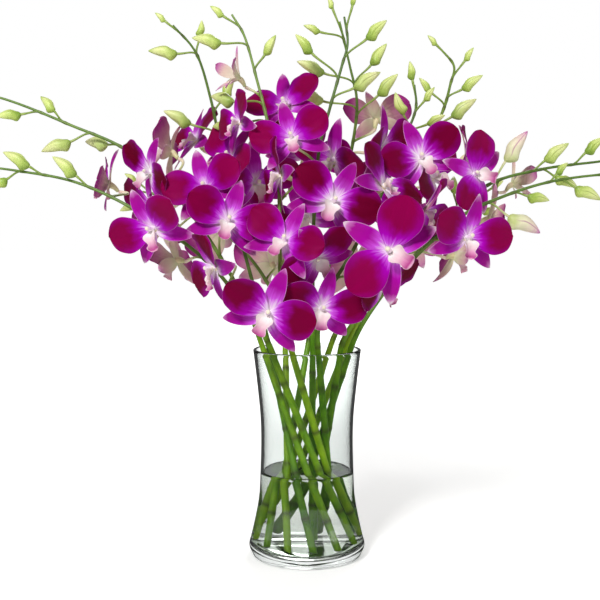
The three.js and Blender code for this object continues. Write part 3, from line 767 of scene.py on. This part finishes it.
def eased(points, count):
    """A smooth row of points through the given ones, by the way along them."""
    points = np.array(points, float)
    way = np.concatenate([[0], np.cumsum(np.linalg.norm(np.diff(points, axis=0), axis=1))])
    slopes = np.gradient(points, way, axis=0)
    rows = []
    for place in np.linspace(0, way[-1], count):
        i = min(int(np.searchsorted(way, place, side="right")) - 1, len(points) - 2)
        span = way[i + 1] - way[i]
        b = (place - way[i]) / span
        a = 1 - b
        rows.append(
            a * a * (1 + 2 * b) * points[i] + b * b * (1 + 2 * a) * points[i + 1]
            + span * (a * a * b * slopes[i] - a * b * b * slopes[i + 1]))
    return rows


def inner_wall():
    """The inside of the glass from the rounded corner of its floor up to just under the rim."""
    points = [(r - WALL, z) for r, z in OUTLINE if z > FLOOR + 1]
    points[0] = (points[0][0] - CORNER_INWARDS, FLOOR + CORNER_UP)
    return eased(points, 60)


def bend(start, corner, end, count):
    start, corner, end = (np.array(point, float) for point in (start, corner, end))
    return [
        (1 - t) ** 2 * start + 2 * t * (1 - t) * corner + t * t * end
        for t in np.linspace(0, 1, count)]


def make_vase(material):
    piece = Piece()
    outer = eased(OUTLINE, 70)
    inner = inner_wall()
    rim = OUTLINE[-1][0]
    lip = [
        (rim - WALL / 2 + WALL / 2 * math.cos(angle), VASE_HEIGHT + math.sin(angle))
        for angle in np.linspace(0.3, math.pi - 0.3, 7)]
    foot = bend((FOOT_RADIUS, 0), (OUTLINE[0][0], 0), OUTLINE[0], 6)[:-1]
    floor = bend(inner[0], (inner[0][0] - 1, FLOOR), (FLOOR_RADIUS - 6, FLOOR), 8)[1:]
    recess = [(0.5, 1.4), (14, 1.3), (28, 1.0), (38, 0.5), (41.5, 0)]
    centre = [(r, FLOOR + 0.5 * math.exp(-((r / 12) ** 2))) for r in (26, 16, 8, 0.5)]
    profile = [*recess, *foot, *outer, *lip, *inner[::-1], *floor, *centre]
    piece.skin(turned(profile, VASE_SIDES))
    piece.build("glass_vase", [material], "vase")


def make_water(material):
    piece = Piece()
    wall = [(r + WETTING, z) for r, z in inner_wall() if z < WATER_LEVEL - 1]
    corner = wall[0][0]
    floor = bend(
        (FLOOR_RADIUS - 6, FLOOR - WETTING), (corner - 1, FLOOR - WETTING), wall[0], 8)[:-1]
    edge = wall[-1][0]
    top = [(edge, WATER_LEVEL + 0.9), (edge - 0.5, WATER_LEVEL + 0.25), (edge - 1.3, WATER_LEVEL)]
    centre = [(r, WATER_LEVEL - 0.12) for r in (edge - 3, 24, 12, 0.5)]
    bottom = [(0.5, FLOOR - WETTING), (16, FLOOR - WETTING), (28, FLOOR - WETTING)]
    piece.skin(turned([*bottom, *floor, *wall, *top, *centre], VASE_SIDES))
    piece.build("still_water", [material], "water")


# Materials


def linear(colour):
    """A colour written as six hexadecimal digits, as linear light."""
    values = [int(colour[i:i + 2], 16) / 255 for i in (0, 2, 4)]
    return [v / 12.92 if v <= 0.04045 else ((v + 0.055) / 1.055) ** 2.4 for v in values] + [1.0]


class Recipe:
    """A material being put together from nodes."""

    def __init__(self, name, **numbers):
        self.material = bpy.data.materials.new(name)
        self.material.use_nodes = True
        self.nodes = self.material.node_tree.nodes
        self.links = self.material.node_tree.links
        self.surface = self.nodes["Principled BSDF"]
        for socket, value in numbers.items():
            self.surface.inputs[socket.replace("_", " ")].default_value = value
        self.coordinates = self.nodes.new("ShaderNodeTexCoord").outputs["Object"]

    def feed(self, socket, value):
        if isinstance(value, bpy.types.NodeSocket):
            self.links.new(value, socket)
        else:
            socket.default_value = value

    def mark(self, name):
        node = self.nodes.new("ShaderNodeAttribute")
        node.attribute_name = name
        return node.outputs["Fac"]

    def math(self, operation, *values):
        node = self.nodes.new("ShaderNodeMath")
        node.operation = operation
        for socket, value in zip(node.inputs, values):
            self.feed(socket, value)
        return node.outputs[0]

    def step(self, value, low, high):
        node = self.nodes.new("ShaderNodeMapRange")
        node.interpolation_type = "SMOOTHSTEP"
        for socket, number in zip(node.inputs, (value, low, high, 0.0, 1.0)):
            self.feed(socket, number)
        return node.outputs[0]

    def place(self, x, y, z):
        node = self.nodes.new("ShaderNodeCombineXYZ")
        for socket, value in zip(node.inputs, (x, y, z)):
            self.feed(socket, value)
        return node.outputs[0]

    def noise(self, scale, detail=3.0, at=None, roughness=0.5):
        node = self.nodes.new("ShaderNodeTexNoise")
        self.feed(node.inputs["Vector"], self.coordinates if at is None else at)
        node.inputs["Scale"].default_value = scale
        node.inputs["Detail"].default_value = detail
        node.inputs["Roughness"].default_value = roughness
        return node.outputs["Fac"]

    def ramp(self, factor, stops):
        node = self.nodes.new("ShaderNodeValToRGB")
        self.feed(node.inputs["Fac"], factor)
        elements = node.color_ramp.elements
        while len(elements) < len(stops):
            elements.new(0.5)
        for element, (place, colour) in zip(elements, stops):
            element.position = place
            element.color = linear(colour)
        return node.outputs["Color"]

    def mix(self, factor, first, second):
        node = self.nodes.new("ShaderNodeMix")
        node.data_type = "RGBA"
        self.feed(node.inputs["Factor"], factor)
        sockets = [s for s in node.inputs if s.type == "RGBA"]
        for socket, value in zip(sockets, (first, second)):
            self.feed(socket, linear(value) if isinstance(value, str) else value)
        return next(s for s in node.outputs if s.type == "RGBA")

    def finish(self, colour=None, roughness=None, bump=None, depth=0.0002, strength=0.4):
        if colour is not None:
            self.feed(self.surface.inputs["Base Color"], colour)
        if roughness is not None:
            self.feed(self.surface.inputs["Roughness"], roughness)
        if bump is not None:
            node = self.nodes.new("ShaderNodeBump")
            node.inputs["Strength"].default_value = strength
            node.inputs["Distance"].default_value = depth
            self.feed(node.inputs["Height"], bump)
            self.links.new(node.outputs["Normal"], self.surface.inputs["Normal"])
        return self.material


def blade_material(name, front_stops, back_stops, cores, core_share, rim, margin_and_highlight_from, streaks):
    """Petals and sepals: violet runs out from the white heart round a darker crimson core, and a
    thin pale line round every edge is partly a pale margin and partly a painted edge highlight.
    """
    recipe = Recipe(
        name, Specular_IOR_Level=0.22, Specular_Tint=linear("E060C8"), Sheen_Weight=0.04,
        Sheen_Tint=linear("D020A0"), Sheen_Roughness=0.4)
    along = recipe.mark("along")
    across = recipe.mark("across")
    tone = recipe.mark("tone")
    seed = recipe.math("MULTIPLY", tone, 37.0)
    spread = recipe.math("MULTIPLY", across, streaks)
    streak_at = recipe.place(spread, recipe.math("MULTIPLY", along, 1.7), seed)
    streak = recipe.noise(1.0, 4.0, streak_at, 0.6)
    cloud_at = recipe.place(
        recipe.math("MULTIPLY", across, 1.5), recipe.math("MULTIPLY", along, 2.5), seed)
    cloud = recipe.noise(1.0, 2.0, cloud_at)
    fade = recipe.math("SUBTRACT", 1.0, along)
    shift = recipe.math("MULTIPLY", recipe.math("SUBTRACT", streak, 0.5), 0.45)
    shift = recipe.math("MULTIPLY", shift, fade)
    cloudy = recipe.math("SUBTRACT", cloud, 0.5)
    place = recipe.math("ADD", along, shift)
    place = recipe.math("MULTIPLY_ADD", recipe.math("SUBTRACT", tone, 0.5), 0.14, place)
    calm = recipe.math("MULTIPLY_ADD", shift, 0.3, along)
    front = recipe.ramp(recipe.math("MULTIPLY_ADD", cloudy, 0.1, place), front_stops)
    edge = recipe.math("ABSOLUTE", across)
    outer = recipe.step(recipe.math("MULTIPLY_ADD", cloudy, 0.9, edge), 0.45, 1.05)
    core = recipe.step(recipe.math("MULTIPLY_ADD", cloudy, 0.5, calm), 0.24, 0.56)
    core = recipe.math("MULTIPLY", core, recipe.math("MULTIPLY_ADD", outer, -0.7, 1.0))
    core = recipe.math("MULTIPLY", core, core_share)
    front = recipe.mix(core, front, recipe.mix(tone, *cores))
    back_place = recipe.math("ADD", along, recipe.math("MULTIPLY", shift, 1.5))
    back = recipe.ramp(back_place, back_stops)
    side = recipe.step(recipe.mark("front"), 0.35, 0.65)
    colour = recipe.mix(side, back, front)
    # Painted edge highlight: a pale line round every edge of both faces, partly the blade's pale
    # margin and partly light caught on the edge, drawn the same whatever the light.
    margin_and_highlight_share = recipe.math("MULTIPLY", recipe.step(edge, margin_and_highlight_from, 0.998), 0.6)
    colour = recipe.mix(margin_and_highlight_share, colour, rim)
    pale_share = recipe.mark("pale")
    cream = recipe.ramp(back_place, [
        (0.0, "DCE6A8"), (0.3, "F2EFC6"), (0.6, "F1D9C8"), (0.85, "D98FC0"), (1.0, "B04A9A")])
    colour = recipe.mix(pale_share, colour, cream)
    grain = recipe.noise(900.0, 2.0)
    roughness = recipe.math("MULTIPLY_ADD", grain, 0.2, 0.4)
    bump = recipe.math("MULTIPLY_ADD", grain, 0.15, streak)
    return recipe.finish(colour, roughness, bump, depth=0.0002, strength=0.35)


def petal_material():
    return blade_material(
        "petal_magenta",
        [(0.0, "FFFFFF"), (0.1, "F6DCFA"), (0.2, "D25CE6"), (0.32, "B004BC"), (0.6, "9C0098"),
         (1.0, "8C0074")],
        [(0.0, "ECF0C8"), (0.24, "F0DCC4"), (0.48, "DC9CB4"), (0.78, "B8489A"), (1.0, "9C2880")],
        # DC8CCC from 0.965 across is the pale edge line, partly pale margin and partly painted edge
        # highlight.
        ("680020", "92004A"), 1.0, "DC8CCC", 0.965, 8.0)


def sepal_material():
    return blade_material(
        "sepal_magenta",
        [(0.0, "FFFFFF"), (0.16, "F4D6F8"), (0.32, "D054E2"), (0.55, "B40EB4"), (0.84, "AE1CA2"),
         (0.95, "DC90D8"), (1.0, "FAECF6")],
        [(0.0, "E8EEC0"), (0.3, "F4E8CC"), (0.65, "F0C4C4"), (0.9, "E090C4"), (1.0, "F8E8EE")],
        # F2C0E8 from 0.9 across is the pale edge line, partly pale margin and partly painted edge
        # highlight.
        ("780040", "940068"), 0.4, "F2C0E8", 0.9, 5.0)


def lip_material():
    return blade_material(
        "lip_cream_and_magenta",
        [(0.0, "FFFFFF"), (0.35, "FFF6F2"), (0.6, "F8DCE2"), (0.8, "E094C0"), (0.94, "BC4C94"),
         (1.0, "ECB8D4")],
        [(0.0, "F8F4D4"), (0.4, "FBEEE0"), (0.75, "F8DCD4"), (1.0, "ECA4C0")],
        # FCECEC from 0.86 across is the pale edge line, partly pale margin and partly painted edge
        # highlight.
        ("A0105C", "B82078"), 0.15, "FCECEC", 0.86, 10.0)


def heart_material():
    recipe = Recipe("heart_cream", Specular_IOR_Level=0.4)
    along = recipe.mark("along")
    speckle = recipe.noise(700.0, 3.0)
    column = recipe.ramp(along, [
        (0.0, "FFFFFF"), (0.5, "F8E8F6"), (0.66, "D8A0D8"), (0.74, "FFFCEC"), (1.0, "FFF8DC")])
    chin = recipe.ramp(along, [(0.0, "F4E6C0"), (0.5, "EFE6B4"), (1.0, "D5DE9A")])
    colour = recipe.mix(recipe.mark("front"), chin, column)
    colour = recipe.mix(recipe.math("MULTIPLY", speckle, 0.12), colour, "D8A0A0")
    return recipe.finish(colour, recipe.math("MULTIPLY_ADD", speckle, 0.2, 0.35), speckle, 0.0001)


def cane_material():
    recipe = Recipe("cane_green", Specular_IOR_Level=0.4)
    tone = recipe.mark("tone")
    blotch = recipe.noise(60.0, 4.0)
    fibre = recipe.noise(420.0, 3.0)
    place = recipe.math("MULTIPLY_ADD", tone, 0.35, recipe.math("MULTIPLY", blotch, 0.7))
    low = recipe.ramp(place, [(0.2, "3C7C04"), (0.5, "74AA08"), (0.8, "A6D018"), (1.0, "C4E438")])
    high = recipe.ramp(place, [(0.2, "46622A"), (0.55, "6A8A3A"), (1.0, "94AE54")])
    colour = recipe.mix(recipe.mark("front"), low, high)
    colour = recipe.mix(recipe.mark("across"), colour, "4A4A1E")
    return recipe.finish(colour, recipe.math("MULTIPLY_ADD", fibre, 0.25, 0.3), fibre, 0.0002)


def stalk_material():
    recipe = Recipe("stalk_green_to_cream", Specular_IOR_Level=0.4)
    along = recipe.mark("along")
    blotch = recipe.noise(300.0, 3.0)
    place = recipe.math("MULTIPLY_ADD", recipe.math("SUBTRACT", blotch, 0.5), 0.25, along)
    colour = recipe.ramp(place, [
        (0.0, "5F7A2C"), (0.2, "93AC50"), (0.5, "D6DDA0"), (0.75, "F2E9C8"), (1.0, "F3D6C8")])
    colour = recipe.mix(recipe.mark("across"), colour, "8A7440")
    return recipe.finish(colour, recipe.math("MULTIPLY_ADD", blotch, 0.2, 0.32), blotch, 0.0001)


def bud_material():
    recipe = Recipe("bud_yellow_green", Specular_IOR_Level=0.4)
    along = recipe.mark("along")
    seams = recipe.mark("across")
    tone = recipe.mark("tone")
    ripe = recipe.mark("pale")
    blotch = recipe.noise(180.0, 4.0)
    place = recipe.math("MULTIPLY_ADD", recipe.math("SUBTRACT", blotch, 0.5), 0.4, along)
    place = recipe.math("MULTIPLY_ADD", recipe.math("SUBTRACT", tone, 0.5), 0.3, place)
    green = recipe.ramp(place, [
        (0.0, "86A83E"), (0.25, "B4CC60"), (0.55, "DCEB8C"), (0.85, "E8F0A4"), (1.0, "C4D878")])
    cream = recipe.ramp(place, [
        (0.0, "C8D684"), (0.3, "F0EEC4"), (0.65, "F4E0CE"), (0.9, "DE9CC4"), (1.0, "B85AA0")])
    colour = recipe.mix(ripe, green, cream)
    seam_colour = recipe.mix(ripe, "7C8C34", "A82C90")
    seam_share = recipe.math(
        "MULTIPLY", recipe.step(seams, 0.35, 0.95), recipe.step(along, 0.08, 0.4))
    colour = recipe.mix(recipe.math("MULTIPLY", seam_share, 0.6), colour, seam_colour)
    return recipe.finish(colour, recipe.math("MULTIPLY_ADD", blotch, 0.2, 0.32), blotch, 0.0002)


def glass_material():
    recipe = Recipe(
        "clear_pressed_glass", Transmission_Weight=1.0, IOR=1.5, Roughness=0.0,
        Specular_IOR_Level=0.1)
    tint = recipe.mix(recipe.noise(30.0, 2.0), "F4F9F7", "FAFCFB")
    waves = recipe.noise(45.0, 2.0)
    return recipe.finish(tint, None, waves, depth=0.0005, strength=0.25)


def water_material():
    recipe = Recipe("still_clear_water", Transmission_Weight=1.0, IOR=1.333, Roughness=0.0)
    tint = recipe.mix(recipe.noise(25.0, 2.0), "F6FAF2", "FCFDFA")
    waves = recipe.noise(60.0, 1.0)
    return recipe.finish(tint, None, waves, depth=0.0002, strength=0.15)


def floor_material():
    """A pale floor. Rays that were mirrored in glass or bounced get a darker one without glow."""
    recipe = Recipe(
        "pale_floor", Roughness=0.9, Specular_IOR_Level=0.1, Emission_Color=(1, 1, 1, 1))
    distance = recipe.nodes.new("ShaderNodeVectorMath")
    distance.operation = "LENGTH"
    recipe.links.new(recipe.coordinates, distance.inputs[0])
    far = recipe.step(distance.outputs["Value"], GLOW_FROM, GLOW_TO)
    glow = recipe.math("MULTIPLY_ADD", far, GLOW_RISE, GLOW_NEAR)
    rays = recipe.nodes.new("ShaderNodeLightPath").outputs
    mirrored = recipe.math("MINIMUM", rays["Glossy Depth"], 1.0)
    bounces = recipe.math("ADD", rays["Diffuse Depth"], mirrored)
    glow = recipe.math("MULTIPLY", glow, recipe.math("LESS_THAN", bounces, 0.5))
    recipe.links.new(glow, recipe.surface.inputs["Emission Strength"])
    colour = recipe.mix(recipe.noise(8.0, 3.0), "F4F4F2", "F8F8F6")
    return recipe.finish(recipe.mix(mirrored, colour, "505050"))


# Camera, floor and light


def make_camera():
    data = bpy.data.cameras.new("camera")
    camera = bpy.data.objects.new("camera", data)
    bpy.context.scene.collection.objects.link(camera)
    eye = np.array([0, -EYE_DISTANCE, EYE_HEIGHT])
    aim = np.array(AIM, float)
    camera.location = eye * METRES
    camera.rotation_euler = direction_euler(aim - eye)
    data.sensor_width = SENSOR
    data.lens = SENSOR * np.linalg.norm(aim - eye) / VIEW_WIDTH
    data.clip_start = 0.05
    bpy.context.scene.camera = camera


def direction_euler(direction):
    return Vector(direction.tolist()).to_track_quat("-Z", "Y").to_euler()


def make_floor(material):
    size = 12.0
    mesh = bpy.data.meshes.new("floor")
    mesh.from_pydata(
        [(-size, -size, 0), (size, -size, 0), (size, size, 0), (-size, size, 0)], [], [(0, 1, 2, 3)])
    mesh.materials.append(material)
    floor = bpy.data.objects.new("floor", mesh)
    bpy.context.scene.collection.objects.link(floor)


def make_light(name, place, aim, size, power):
    data = bpy.data.lights.new(name, "AREA")
    data.shape = "DISK"
    data.size = size
    data.energy = power
    light = bpy.data.objects.new(name, data)
    light.location = place
    light.rotation_euler = direction_euler(np.array(aim) - np.array(place))
    bpy.context.scene.collection.objects.link(light)


def make_studio():
    """The white room and its three lamps."""
    world = bpy.data.worlds.new("white_room")
    world.use_nodes = True
    nodes = world.node_tree.nodes
    links = world.node_tree.links
    background = nodes["Background"]
    background.inputs["Color"].default_value = (1, 1, 1, 1)
    rays = nodes.new("ShaderNodeLightPath").outputs

    def blend(factor, low, high):
        node = nodes.new("ShaderNodeMix")
        links.new(factor, node.inputs[0])
        for socket, value in zip(node.inputs[2:4], (low, high)):
            if isinstance(value, float):
                socket.default_value = value
            else:
                links.new(value, socket)
        return node.outputs[0]

    bounced = nodes.new("ShaderNodeMath")
    bounced.operation = "GREATER_THAN"
    bounced.inputs[1].default_value = 0.5
    links.new(rays["Diffuse Depth"], bounced.inputs[0])
    through = blend(bounced.outputs[0], 1.0, GLASS_LIGHT)
    indirect = blend(rays["Is Transmission Ray"], ROOM_LIGHT, through)
    links.new(blend(rays["Is Camera Ray"], indirect, 1.0), background.inputs["Strength"])
    bpy.context.scene.world = world
    make_light("key", (-0.7, -1.7, 1.5), (0, 0, 0.3), 0.45, 34)
    make_light("fill", (1.6, -0.9, 0.8), (0, 0, 0.3), 1.0, 6)
    make_light("back", (0.3, 1.7, 1.4), (0, 0, 0.3), 1.0, 14)
    bpy.context.scene.view_settings.view_transform = "Standard"
    bpy.context.scene.view_settings.look = "None"


# Assembly

make_camera()
make_studio()
make_floor(floor_material())
for letter, spray in SPRAYS.items():
    cane_line(letter, spray)
blooms = make_blooms()
ease_apart(blooms)
make_vase(glass_material())
make_water(water_material())
flower_materials = [petal_material(), sepal_material(), lip_material(), heart_material()]
spray_materials = [cane_material(), stalk_material(), bud_material()]
for bloom in blooms:
    make_flower(bloom, flower_materials)
for number, (letter, spray) in enumerate(SPRAYS.items()):
    make_spray(number, letter, spray, blooms, spray_materials)
